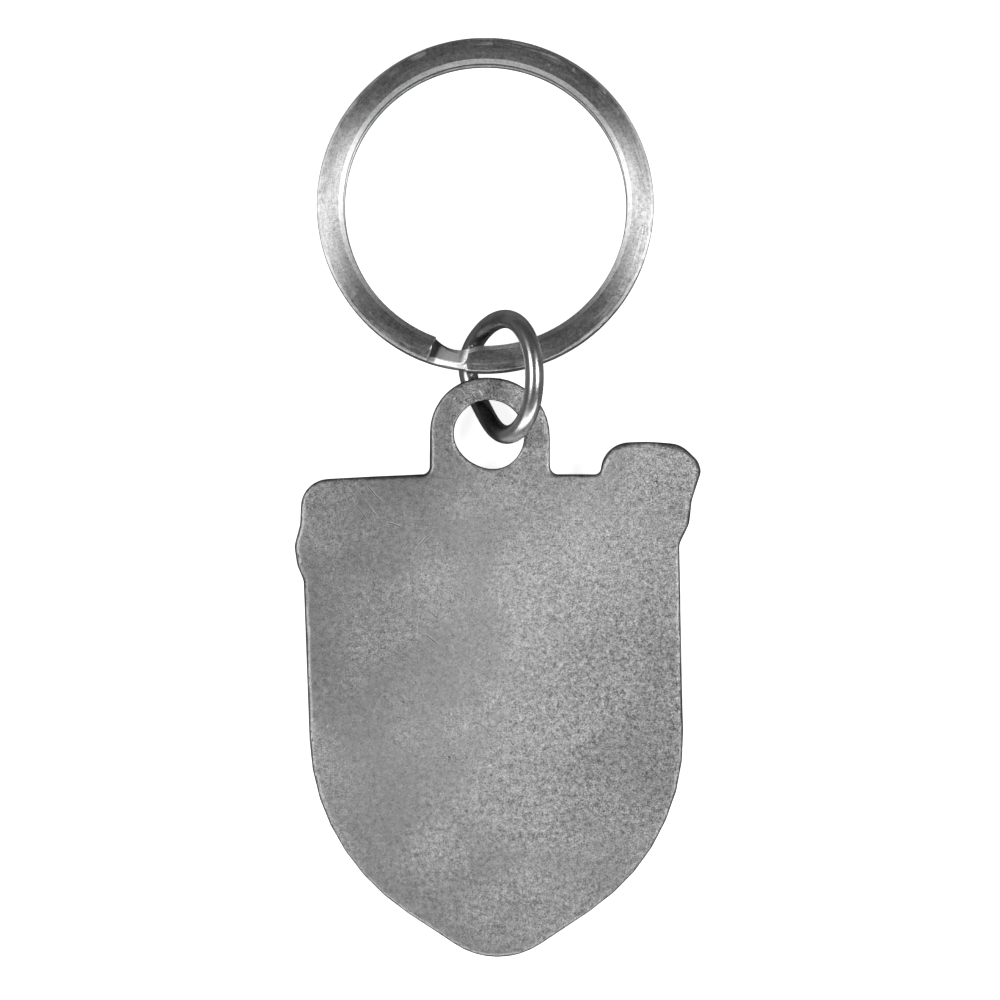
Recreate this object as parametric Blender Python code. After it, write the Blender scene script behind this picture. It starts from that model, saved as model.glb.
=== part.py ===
"""A souvenir keychain lying on its front: a cast shield fob, a round-wire jump ring and a two-turn split ring.

Metres, +Z up. The origin is on the surface it lies on, below the middle of the whole keychain. +Y runs from
the fob's point to the split ring, and the fob's plain back faces up.
"""

import math

import bmesh
import bpy
from mathutils import Vector

MM = 0.001

# Fob: one casting. Its front, with the rim and the relief, faces down onto the surface.
BACK_Z = 4.0 * MM
FOB_EDGE = 0.2 * MM
LUG_UNDER_Z = 2.5 * MM
LUG_BACK_Z = BACK_Z - 0.05 * MM
LUG_HOLE_CENTRE = (-0.75 * MM, 5.05 * MM)
LUG_HOLE_RADIUS = 2.93 * MM
LUG_TOP = 9.87
RIM_WIDTH = 1.3 * MM
FIELD_Z = 1.0 * MM
RIBBON_CREST_Z = 0
RIBBON_LIP_Z = 3.1 * MM
RIBBON_HALF_WIDTH = 2.15 * MM
FOLD_CREST_Z = 0.45 * MM
CHARGE_CREST_Z = 0.3 * MM
CHARGE_ROOT_Z = FIELD_Z + 0.3 * MM
CHARGE_EDGE = 0.15 * MM

# Jump ring: round wire, leaning over the lug and the split ring. Pliers closed it a little out of round:
# fuller on its high side, flatter and pushed under the lug at its low side, where its butt joint is.
JUMP_CENTRE = (0.16 * MM, 9.89 * MM)
JUMP_RADIUS = 4.75 * MM
JUMP_WIRE = 1.55 * MM
JUMP_LEAN = math.radians(53)
JUMP_FULLNESS = 0.156
JUMP_FLAT = 0.115
JUMP_DIP = 0.5 * MM
JUMP_PINCH_ANGLE = math.radians(230)
JUMP_JOINT_ANGLE = math.radians(251)
JUMP_JOINT_GAP = 0.14 * MM
JUMP_STEPS = 72

# Hinges: the jump ring swings on the lug's bar, and the split ring on the jump ring.
LUG_HINGE = (0.8 * MM, 9.0 * MM, 3.4 * MM)
BAND_HINGE = (0, 11.4 * MM, 3.8 * MM)

# Split ring: a flattened wire in two turns, with a short crossover between them.
SPLIT_CENTRE = (-1.05 * MM, 24.12 * MM)
SPLIT_OUTER = 14.0 * MM
SPLIT_BAND = 2.3 * MM
SPLIT_WIRE_THICK = 0.9 * MM
SPLIT_TURN_GAP = 0.08 * MM
SPLIT_CORNER = 0.3 * MM
SPLIT_TILT = math.radians(-6)
SPLIT_UPPER_TIP = math.radians(249.7)
CROSSOVER_START = math.radians(-96.5)
CROSSOVER_END = math.radians(-110.3)
CROSSOVER_NARROWING = 0.6 * MM
SPLIT_STEP = math.radians(4.5)

ARC_STEP = math.radians(9)
WELD = 1e-6

# Outlines seen from the fob's back, as corners (x, y, rounding) in millimetres, anticlockwise from the point.
POINT = (0.0, -39.4, 6.45)
RIGHT_HIP = (15.6, -29.05, 17.5)
LEFT_HIP = (-15.25, -29.45, 17.9)
BODY_CORNERS = [
    POINT,
    RIGHT_HIP,
    (15.0, -3.95, 0.6),
    (15.82, -2.25, 1.3),
    (16.02, -0.35, 2.0),
    (16.83, 2.1, 0.8),
    (16.55, 2.95, 1.0),
    (15.15, 4.33, 2.2),
    (12.3, 4.56, 12.0),
    (8.68, 4.36, 2.35),
    (8.52, 1.82, 0.45),
    (-5.0, 1.9, 0.5),
    (-16.25, 1.36, 2.35),
    (-16.36, -2.3, 1.5),
    (-16.84, -4.1, 1.2),
    (-16.6, -5.7, 1.5),
    (-16.08, -6.95, 0.8),
    LEFT_HIP,
]
LUG_CORNERS = [
    (6.1, 0.9, 0.2),
    (6.1, 1.82, 0.1),
    (4.32, 1.85, 0.65),
    (4.32, LUG_TOP, 4.9),
    (-5.65, LUG_TOP, 4.55),
    (-5.65, 1.87, 0.6),
    (-7.5, 1.78, 0.1),
    (-7.5, 0.9, 0.2),
]
SHIELD_CORNERS = [POINT, RIGHT_HIP, (14.7, 1.7, 2.3), (-16.3, 1.4, 2.3), LEFT_HIP]
FOLD_CORNERS = [(15.6, -0.4, 0.9), (16.2, 3.8, 1.9), (8.95, 3.9, 1.9), (9.3, -0.9, 0.6)]


def clear_scene():
    for obj in list(bpy.data.objects):
        bpy.data.objects.remove(obj)


def collection(name):
    made = bpy.data.collections.new(name)
    bpy.context.scene.collection.children.link(made)
    return made


def metal(name, colour, roughness):
    material = bpy.data.materials.new(name)
    material.use_nodes = True
    shader = material.node_tree.nodes["Principled BSDF"]
    shader.inputs["Base Color"].default_value = (*colour, 1.0)
    shader.inputs["Roughness"].default_value = roughness
    shader.inputs["Metallic"].default_value = 1.0
    return material


def rounded(corners):
    """The outline through corners (x, y, rounding in mm), each rounded by an arc that touches both its sides."""
    points = []
    for i, (x, y, radius) in enumerate(corners):
        here = Vector((x, y))
        to_last = (Vector(corners[i - 1][:2]) - here).normalized()
        to_next = (Vector(corners[(i + 1) % len(corners)][:2]) - here).normalized()
        turn = math.pi - to_last.angle(to_next)
        tangent = radius * math.tan(turn / 2)
        centre = here + (to_last + to_next).normalized() * radius / math.cos(turn / 2)
        first = here + to_last * tangent - centre
        side = 1 if to_last.x * to_next.y - to_last.y * to_next.x < 0 else -1
        steps = max(2, math.ceil(turn / ARC_STEP))
        for k in range(steps + 1):
            angle = math.atan2(first.y, first.x) + side * turn * k / steps
            points.append((centre + radius * Vector((math.cos(angle), math.sin(angle)))) * MM)
    return points


def inset(corners, distance):
    """The same corners moved in by distance (mm), with their roundings made tighter to match."""
    moved = []
    for i, (x, y, radius) in enumerate(corners):
        here = Vector((x, y))
        along_last = (here - Vector(corners[i - 1][:2])).normalized()
        along_next = (Vector(corners[(i + 1) % len(corners)][:2]) - here).normalized()
        inward_last = Vector((-along_last.y, along_last.x))
        inward_next = Vector((-along_next.y, along_next.x))
        bisector = (inward_last + inward_next).normalized()
        corner = here + bisector * distance / bisector.dot(inward_next)
        moved.append((corner.x, corner.y, max(radius - distance, 0.4)))
    return moved


def hole_outline():
    """The lug's hole: a circle that hand trimming left a little flat low on its left side."""
    points = []
    for k in range(40):
        angle = -2 * math.pi * k / 40
        flat = max(0.0, math.cos(angle - math.radians(240)))
        radius = LUG_HOLE_RADIUS * (1 - 0.1 * flat**3)
        points.append(Vector(LUG_HOLE_CENTRE) + radius * Vector((math.cos(angle), math.sin(angle))))
    return points


def ribbon_outline():
    """The blank ribbon across the shield, in a gentle wave from one bulge of the outline to the other."""
    left, right, steps = -16.45 * MM, 15.6 * MM, 26

    def middle(x):
        return -2.9 * MM + 0.07 * x + 0.55 * MM * math.sin(2 * math.pi * x / (33 * MM))

    def half_width(x):
        end = min(x - left, right - x) / MM
        return RIBBON_HALF_WIDTH * math.sqrt(max(0.2, 1 - max(0.0, 1 - end) ** 2))

    across = [left + (right - left) * k / steps for k in range(steps + 1)]
    lower = [Vector((x, middle(x) - half_width(x))) for x in across]
    upper = [Vector((x, middle(x) + half_width(x))) for x in reversed(across)]
    return lower + upper


def plate(name, outlines, z_low, z_high, edge, home):
    """A closed plate from flat outlines (the first solid, any others holes), with its edges rounded by edge."""
    curve = bpy.data.curves.new(name, "CURVE")
    curve.dimensions = "2D"
    curve.fill_mode = "BOTH"
    curve.extrude = (z_high - z_low) / 2 - edge
    curve.bevel_depth = edge
    curve.bevel_resolution = 1
    curve.offset = -edge
    for outline in outlines:
        spline = curve.splines.new("POLY")
        spline.points.add(len(outline) - 1)
        for point, (x, y) in zip(spline.points, outline):
            point.co = (x, y, 0, 1)
        spline.use_cyclic_u = True
    drawn = bpy.data.objects.new(name + "_outline", curve)
    home.objects.link(drawn)
    drawn.location.z = (z_low + z_high) / 2
    bpy.context.view_layer.update()
    graph = bpy.context.evaluated_depsgraph_get()
    mesh = bpy.data.meshes.new_from_object(drawn.evaluated_get(graph))
    solid = bpy.data.objects.new(name, mesh)
    solid.matrix_world = drawn.matrix_world
    home.objects.link(solid)
    bpy.data.objects.remove(drawn)
    shell = bmesh.new()
    shell.from_mesh(mesh)
    bmesh.ops.remove_doubles(shell, verts=shell.verts, dist=WELD)
    bmesh.ops.recalc_face_normals(shell, faces=shell.faces)
    shell.to_mesh(mesh)
    shell.free()
    return solid


def helper(obj):
    obj.hide_render = True
    obj.display_type = "WIRE"
    return obj


def combine(obj, other, operation):
    modifier = obj.modifiers.new(f"{operation.lower()}_{other.name}", "BOOLEAN")
    modifier.operation = operation
    modifier.solver = "EXACT"
    modifier.object = helper(other)


def shade(obj, material):
    obj.data.materials.clear()
    obj.data.materials.append(material)
    obj.data.shade_smooth()
    obj.data.set_sharp_from_angle(angle=math.radians(35))


def hinge(name, place, home):
    """An empty on a hinge's axis, which carries the piece that turns there."""
    empty = bpy.data.objects.new(name, None)
    empty.location = place
    empty.empty_display_size = 3 * MM
    home.objects.link(empty)
    return empty


def carry(child, parent):
    """Parents child to parent and leaves it where it is."""
    bpy.context.view_layer.update()
    child.parent = parent
    child.matrix_parent_inverse = parent.matrix_world.inverted()


def chevron_outline():
    """A plain chevron with its peak towards the ribbon."""
    reach, rise, thick = 8.2 * MM, 6.2 * MM, 3.0 * MM
    peak = Vector((-0.3 * MM, -12.2 * MM))
    arm = [Vector((-reach, -rise)), Vector((0, 0)), Vector((reach, -rise))]
    drop = Vector((0, -thick))
    return [peak + a for a in reversed(arm)] + [peak + a + drop for a in arm]


def disc_outline(centre, radius, sides=24):
    turn = 2 * math.pi / sides
    return [
        Vector(centre) + radius * Vector((math.cos(k * turn), math.sin(k * turn)))
        for k in range(sides)
    ]


def make_fob(home, cutters):
    """The casting: body with rim, pocket cut into the front, then lug, ribbon, chevron and roundels joined on."""
    fob = plate("fob", [rounded(BODY_CORNERS)], 0, BACK_Z, FOB_EDGE, home)
    pocket_edge = inset(SHIELD_CORNERS, RIM_WIDTH / MM)
    pocket = plate("pocket", [rounded(pocket_edge)], -1 * MM, FIELD_Z, 0.1 * MM, cutters)
    combine(fob, pocket, "DIFFERENCE")
    lug = plate("lug", [rounded(LUG_CORNERS)], LUG_UNDER_Z, LUG_BACK_Z, FOB_EDGE, cutters)
    combine(fob, lug, "UNION")
    hole = plate("hole", [hole_outline()], 1 * MM, 6 * MM, 0.1 * MM, cutters)
    combine(fob, hole, "DIFFERENCE")
    fold = plate("ribbon_fold", [rounded(FOLD_CORNERS)], FOLD_CREST_Z, RIBBON_LIP_Z, 0.2 * MM, cutters)
    combine(fob, fold, "UNION")
    ribbon = plate("ribbon", [ribbon_outline()], RIBBON_CREST_Z, RIBBON_LIP_Z, 0.25 * MM, cutters)
    combine(fob, ribbon, "UNION")
    charges = {"chevron": chevron_outline()}
    for name, centre in {
        "left_roundel": (-9.0 * MM, -11.5 * MM),
        "right_roundel": (8.4 * MM, -11.0 * MM),
        "lower_roundel": (-0.3 * MM, -27.2 * MM),
    }.items():
        charges[name] = disc_outline(centre, 2.1 * MM)
    for name, outline in charges.items():
        charge = plate(name, [outline], CHARGE_CREST_Z, CHARGE_ROOT_Z, CHARGE_EDGE, cutters)
        combine(fob, charge, "UNION")
    return fob


def jump_point(angle):
    """A point of the jump ring's wire about its middle, angle 0 towards the split ring, 90 at its high side."""
    pinch = max(0.0, math.cos(angle - JUMP_PINCH_ANGLE))
    radius = JUMP_RADIUS * (1 - JUMP_FLAT * pinch**4)
    across = radius * math.sin(angle)
    along = radius * math.cos(angle) * (1 + JUMP_FULLNESS * math.sin(angle))
    dip = JUMP_DIP * pinch**3
    x = across * math.cos(JUMP_LEAN) + dip * math.sin(JUMP_LEAN)
    z = across * math.sin(JUMP_LEAN) - dip * math.cos(JUMP_LEAN)
    return Vector((x, along, z))


def make_jump_ring(home):
    curve = bpy.data.curves.new("jump_ring", "CURVE")
    curve.dimensions = "3D"
    curve.bevel_depth = JUMP_WIRE / 2
    curve.bevel_resolution = 3
    curve.use_fill_caps = True
    spline = curve.splines.new("POLY")
    spline.points.add(JUMP_STEPS)
    half_gap = JUMP_JOINT_GAP / JUMP_RADIUS / 2
    start = JUMP_JOINT_ANGLE + half_gap
    sweep = 2 * math.pi - 2 * half_gap
    wire = [jump_point(start + sweep * k / JUMP_STEPS) for k in range(JUMP_STEPS + 1)]
    for point, place in zip(spline.points, wire):
        point.co = (*place, 1)
    ring = bpy.data.objects.new("jump_ring", curve)
    home.objects.link(ring)
    ring.location = (*JUMP_CENTRE, JUMP_WIRE / 2 - min(place.z for place in wire))
    return ring


def wire_section(width, thick, corner):
    """A flattened wire's section, as (outward, up) points of a rectangle with rounded corners."""
    points = []
    for quarter, (a, b) in enumerate([(1, 1), (-1, 1), (-1, -1), (1, -1)]):
        for k in range(4):
            angle = math.radians(90 * quarter + 30 * k)
            points.append(
                (
                    a * (width / 2 - corner) + corner * math.cos(angle),
                    b * (thick / 2 - corner) + corner * math.sin(angle),
                )
            )
    return points


def split_stations():
    """Angles along the split ring's wire from the upper tip, finer through the crossover, to the lower tip."""
    lower_tip = CROSSOVER_START - 2 * math.pi
    stops = [(SPLIT_UPPER_TIP, CROSSOVER_START, SPLIT_STEP)]
    stops.append((CROSSOVER_START, CROSSOVER_END, SPLIT_STEP / 3))
    stops.append((CROSSOVER_END, lower_tip, SPLIT_STEP))
    angles = []
    for first, last, step in stops:
        count = math.ceil((first - last) / step)
        angles += [first + (last - first) * k / count for k in range(count)]
    return angles + [lower_tip]


def split_section(angle):
    """The wire's section at this angle along it: narrower, and between the two levels, in the crossover."""
    through = (angle - CROSSOVER_START) / (CROSSOVER_END - CROSSOVER_START)
    through = min(1.0, max(0.0, through))
    down = through * through * (3 - 2 * through)
    narrowing = CROSSOVER_NARROWING * math.sin(math.pi * through) ** 0.7
    width = SPLIT_BAND - narrowing
    middle = SPLIT_OUTER - width / 2
    pitch = SPLIT_WIRE_THICK + SPLIT_TURN_GAP
    level = pitch * (0.5 - down)
    outward = Vector((math.cos(angle), math.sin(angle), 0))
    return [
        outward * (middle + u) + Vector((0, 0, level + v))
        for u, v in wire_section(width, SPLIT_WIRE_THICK, SPLIT_CORNER)
    ]


def make_split_ring(home):
    """Both turns as one wire, lofted through its sections, with its upper side tipped up over the jump ring."""
    shell = bmesh.new()
    rings = [[shell.verts.new(p) for p in split_section(a)] for a in split_stations()]
    for first, second in zip(rings, rings[1:]):
        for k in range(len(first)):
            shell.faces.new((first[k - 1], first[k], second[k], second[k - 1]))
    shell.faces.new(rings[0])
    shell.faces.new(reversed(rings[-1]))
    bmesh.ops.recalc_face_normals(shell, faces=shell.faces)
    mesh = bpy.data.meshes.new("split_ring")
    shell.to_mesh(mesh)
    shell.free()
    ring = bpy.data.objects.new("split_ring", mesh)
    home.objects.link(ring)
    half_thick = SPLIT_WIRE_THICK + SPLIT_TURN_GAP / 2
    rise = SPLIT_OUTER * math.sin(-SPLIT_TILT) + half_thick * math.cos(SPLIT_TILT)
    ring.location = (*SPLIT_CENTRE, rise)
    ring.rotation_euler.x = SPLIT_TILT
    return ring


def main():
    clear_scene()
    home = collection("keychain")
    cutters = collection("cutters")
    pewter = metal("cast_pewter", (0.34, 0.34, 0.34), 0.55)
    wire = metal("plated_wire", (0.3, 0.3, 0.3), 0.2)
    steel = metal("plated_steel", (0.45, 0.45, 0.45), 0.28)
    fob = make_fob(home, cutters)
    shade(fob, pewter)
    jump_ring = make_jump_ring(home)
    jump_ring.data.materials.append(wire)
    split_ring = make_split_ring(home)
    shade(split_ring, steel)
    lug_hinge = hinge("lug_hinge", LUG_HINGE, home)
    band_hinge = hinge("band_hinge", BAND_HINGE, home)
    carry(lug_hinge, fob)
    carry(jump_ring, lug_hinge)
    carry(band_hinge, jump_ring)
    carry(split_ring, band_hinge)


main()
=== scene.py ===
# %% [markdown]
# A souvenir keychain is three pieces of metal. A flat fob cast in pewter hangs from a jump ring, which is
# one turn of round plated wire, and the jump ring hangs from a split ring, which is two turns of flattened
# steel wire. The working model already says where each piece is and how it moves. This lesson gives the
# pieces their real surfaces. It starts by loading that working model as a frame that nothing here may move.

# %% Load the frame
import math

import bmesh
import bpy
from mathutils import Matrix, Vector, kdtree, noise


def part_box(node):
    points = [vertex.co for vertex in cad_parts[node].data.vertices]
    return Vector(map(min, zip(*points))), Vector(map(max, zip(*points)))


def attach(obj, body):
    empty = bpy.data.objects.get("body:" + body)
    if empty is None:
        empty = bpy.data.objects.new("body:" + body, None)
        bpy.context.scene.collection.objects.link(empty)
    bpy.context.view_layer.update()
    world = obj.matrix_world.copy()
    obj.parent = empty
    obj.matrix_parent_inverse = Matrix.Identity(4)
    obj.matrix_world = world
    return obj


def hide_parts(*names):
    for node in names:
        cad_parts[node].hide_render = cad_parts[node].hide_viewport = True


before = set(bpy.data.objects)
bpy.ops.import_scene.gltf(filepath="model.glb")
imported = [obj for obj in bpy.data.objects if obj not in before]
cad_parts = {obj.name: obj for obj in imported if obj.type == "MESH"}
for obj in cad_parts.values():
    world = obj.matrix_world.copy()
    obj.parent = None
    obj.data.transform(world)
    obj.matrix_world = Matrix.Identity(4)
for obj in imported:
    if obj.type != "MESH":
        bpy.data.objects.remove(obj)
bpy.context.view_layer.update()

MM = 0.001
scene = bpy.context.scene
print("pieces in the frame:", ", ".join(sorted(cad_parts)))

# %% [markdown]
# The keychain lies on a table with the fob's plain back up, and we look straight down on it. A long lens
# from far away keeps the outlines true, as a flat copy stand does. The camera stands over the middle of the
# keychain.

# %% Camera over the table
CAMERA_HEIGHT = 1.5
VIEW_WIDTH = 82.8 * MM
SENSOR_WIDTH = 36.0
VIEW_CENTRE = Vector((0.17 * MM, -0.29 * MM))

lens = bpy.data.cameras.new("copy_stand_camera")
lens.sensor_width = SENSOR_WIDTH
lens.lens = SENSOR_WIDTH * CAMERA_HEIGHT / VIEW_WIDTH
camera = bpy.data.objects.new("copy_stand_camera", lens)
scene.collection.objects.link(camera)
camera.location = (*VIEW_CENTRE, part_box("fob")[1].z + CAMERA_HEIGHT)
scene.camera = camera
scene.view_settings.view_transform = "Standard"
print("lens in mm:", round(lens.lens))

# %% [markdown]
# Metal has no colour of its own to speak of: it shows what it reflects. So the light is the most important
# setting. Two softboxes stand high at the left and the right, a long low one stands in front, and the room
# above stays dark. The boxes draw the bright streaks on the round wire, and the dark room gives the wire
# its black flanks. A lamp's power is worked out from its size and its brightness, so that a longer box is
# not a dimmer one.


# %% Softboxes
def softbox(name, azimuth, elevation, width, length, radiance, distance=0.9):
    """A flat lamp aimed at the keychain. Azimuth turns from +X towards +Y, and length lies across that."""
    lamp = bpy.data.lights.new(name, "AREA")
    lamp.shape = "RECTANGLE"
    lamp.size = length
    lamp.size_y = width
    lamp.energy = 4 * width * length * radiance
    box = bpy.data.objects.new(name, lamp)
    scene.collection.objects.link(box)
    turn, rise = math.radians(azimuth), math.radians(elevation)
    away = Vector((math.cos(turn) * math.cos(rise), math.sin(turn) * math.cos(rise), math.sin(rise)))
    box.location = away * distance
    box.rotation_euler = away.to_track_quat("Z", "Y").to_euler()
    box.visible_camera = False
    return box


softbox("left_softbox", 170, 52, 0.24, 0.32, 10.5)
softbox("right_softbox", 8, 52, 0.24, 0.32, 11.5)
softbox("front_softbox", 268, 31, 0.18, 2.4, 4.5)

# %% [markdown]
# The next helpers keep the material cells short. `add` makes a node and wires it in one line, `ramp` turns
# one range of values into another, and `layered` lays other greys, such as dark pits, bare metal and painted
# shade, over a base colour. `start_group` opens a shader node group with named sockets. A group is built once
# and then placed in every material that needs its effect, each time with its own values.


# %% Helpers for node trees
def add(tree, kind, *values, settings=None, **named):
    """Adds a shader node. A value is a number, a vector or another node's socket. None leaves the default."""
    node = tree.nodes.new("ShaderNode" + kind)
    for key, value in (settings or {}).items():
        setattr(node, key, value)
    wanted = [(node.inputs[i], value) for i, value in enumerate(values)]
    wanted += [(node.inputs[key.replace("_", " ")], value) for key, value in named.items()]
    for socket, value in wanted:
        if isinstance(value, bpy.types.NodeSocket):
            tree.links.new(value, socket)
        elif value is not None:
            socket.default_value = value
    return node


def maths(tree, operation, *values):
    return add(tree, "Math", *values, settings={"operation": operation}).outputs[0]


def vector_maths(tree, operation, *values):
    return add(tree, "VectorMath", *values, settings={"operation": operation})


def ramp(tree, value, low, high, start=0.0, end=1.0):
    """Smoothly takes value from start at low to end at high, and holds it there outside."""
    settings = {"interpolation_type": "SMOOTHSTEP", "clamp": True}
    return add(tree, "MapRange", value, low, high, start, end, settings=settings).outputs[0]


def blend_colours(tree, share, first, second):
    node = add(tree, "Mix", share, settings={"data_type": "RGBA"})
    for socket, value in ((node.inputs[6], first), (node.inputs[7], second)):
        if isinstance(value, bpy.types.NodeSocket):
            tree.links.new(value, socket)
        else:
            socket.default_value = value
    return node.outputs[2]


def cloud(tree, vector, size, detail=2.0, roughness=0.5, distortion=0.0):
    """Noise whose lumps are about size across, in the units of vector."""
    return add(
        tree, "TexNoise", vector, Scale=1 / size, Detail=detail, Roughness=roughness, Distortion=distortion
    ).outputs["Fac"]


def grey(level):
    return (level, level, level, 1.0)


def weighted_sum(tree, start, parts):
    """Adds each value times its weight to start."""
    for value, weight in parts:
        start = maths(tree, "MULTIPLY_ADD", value, weight, start)
    return start


def layered(tree, tone, layers):
    """A grey of this tone under layers of other greys. A layer is a mask, its cover and its level."""
    colour = add(tree, "CombineColor", tone, tone, tone).outputs[0]
    for mask, cover, level in layers:
        colour = blend_colours(tree, maths(tree, "MULTIPLY", mask, cover), colour, grey(level))
    return colour


def start_group(name, inputs, outputs):
    """A new shader node group, and the nodes where its inputs come in and its outputs go out."""
    tree = bpy.data.node_groups.new(name, "ShaderNodeTree")
    for label, kind, value in inputs:
        socket = tree.interface.new_socket(name=label, in_out="INPUT", socket_type="NodeSocket" + kind)
        socket.default_value = value
    for label in outputs:
        tree.interface.new_socket(name=label, in_out="OUTPUT", socket_type="NodeSocketFloat")
    return tree, tree.nodes.new("NodeGroupInput").outputs, tree.nodes.new("NodeGroupOutput").inputs


def place(tree, group, **inputs):
    """Places a node group in a material and sets or wires its inputs by name. Returns its outputs."""
    node = tree.nodes.new("ShaderNodeGroup")
    node.node_tree = group
    for key, value in inputs.items():
        socket = node.inputs[key.replace("_", " ")]
        if isinstance(value, bpy.types.NodeSocket):
            tree.links.new(value, socket)
        else:
            socket.default_value = value
    return node.outputs


def millimetres(tree):
    """The piece's own coordinates, in millimetres. They move with the piece, so its marks stay on it."""
    own = add(tree, "TexCoord").outputs["Object"]
    return vector_maths(tree, "SCALE", own, None, None, 1000.0).outputs[0]


print("node helpers ready")

# %% [markdown]
# Cast metal keeps the skin of its mould. Close up it is a fine sandy grain, with some grains proud and some
# missing. Plated steel keeps a faint grain too, of the rolled metal under the plating. Two layers of noise
# at different sizes make it. A Voronoi texture would give round cells, like leather, which is why noise is
# used here.

# %% Group: sandy grain
grain_group, fed, out = start_group(
    "sandy_grain", [("Vector", "Vector", (0, 0, 0)), ("Size", "Float", 0.25)], ["Height", "Specks", "Holes"]
)
scaled = vector_maths(grain_group, "DIVIDE", fed["Vector"], None)
spread = add(grain_group, "CombineXYZ", fed["Size"], fed["Size"], fed["Size"]).outputs[0]
grain_group.links.new(spread, scaled.inputs[1])
fine = cloud(grain_group, scaled.outputs[0], 1.0, 3.0, 0.6)
coarse = cloud(grain_group, scaled.outputs[0], 3.1, 2.0, 0.5)
both = maths(grain_group, "MULTIPLY_ADD", fine, 0.65, maths(grain_group, "MULTIPLY", coarse, 0.35))
grain_group.links.new(both, out["Height"])
grain_group.links.new(ramp(grain_group, fine, 0.58, 0.68), out["Specks"])
grain_group.links.new(ramp(grain_group, fine, 0.4, 0.31), out["Holes"])
print("group:", grain_group.name)

# %% [markdown]
# Gas in the melt leaves pits. Each pit is a small dark hole, seldom quite round, and they come in crowds
# with clear metal between. A Voronoi texture has one point in each cell, so it scatters the pits, noise
# bends them out of round, and a second, larger noise decides where the crowds are.

# %% Group: pits
pit_group, fed, out = start_group(
    "pits",
    [
        ("Vector", "Vector", (0, 0, 0)),
        ("Spacing", "Float", 1.0),
        ("Radius", "Float", 0.1),
        ("Crowding", "Float", 0.5),
    ],
    ["Mask"],
)
wobble = add(pit_group, "TexNoise", fed["Vector"], Scale=5.0, Detail=2.0).outputs["Color"]
bend = vector_maths(pit_group, "MULTIPLY_ADD", wobble, (0.45, 0.45, 0.45), fed["Vector"]).outputs[0]
spread = add(pit_group, "CombineXYZ", fed["Spacing"], fed["Spacing"], fed["Spacing"]).outputs[0]
celled = vector_maths(pit_group, "DIVIDE", bend, spread).outputs[0]
nearest = add(pit_group, "TexVoronoi", celled, Scale=1.0, Randomness=1.0).outputs["Distance"]
reach = maths(pit_group, "DIVIDE", fed["Radius"], fed["Spacing"])
depth = maths(pit_group, "SUBTRACT", 1.0, maths(pit_group, "DIVIDE", nearest, reach))
crowds = cloud(pit_group, fed["Vector"], 4.0, 2.0)
kept = maths(pit_group, "LESS_THAN", maths(pit_group, "SUBTRACT", 1.0, crowds), fed["Crowding"])
shown = maths(pit_group, "MULTIPLY", ramp(pit_group, depth, 0.0, 0.6), kept)
pit_group.links.new(shown, out["Mask"])
print("group:", pit_group.name)

# %% [markdown]
# Scratches are the same trick pulled long. Dividing the coordinates by a big number one way and a small
# number the other way turns each round Voronoi dot into a needle. Turning the coordinates first gives the
# needles a direction.

# %% Group: scratches
scratch_group, fed, out = start_group(
    "scratches",
    [
        ("Vector", "Vector", (0, 0, 0)),
        ("Angle", "Float", 0.0),
        ("Length", "Float", 4.0),
        ("Spacing", "Float", 0.6),
        ("Width", "Float", 0.1),
    ],
    ["Mask"],
)
turned = add(
    scratch_group, "VectorRotate", fed["Vector"], Angle=fed["Angle"], settings={"rotation_type": "Z_AXIS"}
).outputs[0]
stretch = add(scratch_group, "CombineXYZ", fed["Length"], fed["Spacing"], fed["Length"]).outputs[0]
celled = vector_maths(scratch_group, "DIVIDE", turned, stretch).outputs[0]
nearest = add(scratch_group, "TexVoronoi", celled, Scale=1.0, Randomness=1.0).outputs["Distance"]
line = ramp(scratch_group, nearest, 0.0, fed["Width"], 1.0, 0.0)
broken = ramp(scratch_group, cloud(scratch_group, fed["Vector"], 1.3, 2.0), 0.4, 0.6)
scratch_group.links.new(maths(scratch_group, "MULTIPLY", line, broken), out["Mask"])
print("group:", scratch_group.name)

# %% [markdown]
# Edges rub bright in a pocket, and a second mask finds the hollows. Blender's pointiness is above a half on
# outside corners and below it in hollows, so it finds both. Noise breaks the worn line up, because real wear
# is never even.

# %% Group: edge wear
wear_group, fed, out = start_group(
    "edge_wear",
    [("Vector", "Vector", (0, 0, 0)), ("Amount", "Float", 0.05), ("Patch", "Float", 1.5)],
    ["Worn", "Hollows"],
)
pointed = add(wear_group, "NewGeometry").outputs["Pointiness"]
outside = ramp(wear_group, maths(wear_group, "SUBTRACT", pointed, 0.5), 0.0, fed["Amount"])
inside = ramp(wear_group, maths(wear_group, "SUBTRACT", 0.5, pointed), 0.0, fed["Amount"])
patch = add(wear_group, "TexNoise", fed["Vector"], Detail=3.0)
wear_group.links.new(maths(wear_group, "DIVIDE", 1.0, fed["Patch"]), patch.inputs["Scale"])
uneven = ramp(wear_group, patch.outputs["Fac"], 0.35, 0.65)
wear_group.links.new(maths(wear_group, "MULTIPLY", outside, uneven), out["Worn"])
wear_group.links.new(inside, out["Hollows"])
print("group:", wear_group.name)

# %% [markdown]
# Flat metal under lamps is bright and its sides are dark, and painted shade makes them darker still. The
# flank
# group finds the sides: its mask is one where the surface stands steep and nought where it lies flat in the
# piece's own axes. The materials use it for painted shade on the sides and a painted highlight on bevels.

# %% Group: flank
flank_group, fed, out = start_group("flank", [("Steep", "Float", 0.45), ("Flat", "Float", 0.88)], ["Mask"])
own_normal = add(flank_group, "SeparateXYZ", add(flank_group, "TexCoord").outputs["Normal"]).outputs
upright = maths(flank_group, "ABSOLUTE", own_normal["Z"])
flank_group.links.new(ramp(flank_group, upright, fed["Steep"], fed["Flat"], 1.0, 0.0), out["Mask"])
print("group:", flank_group.name)

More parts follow.
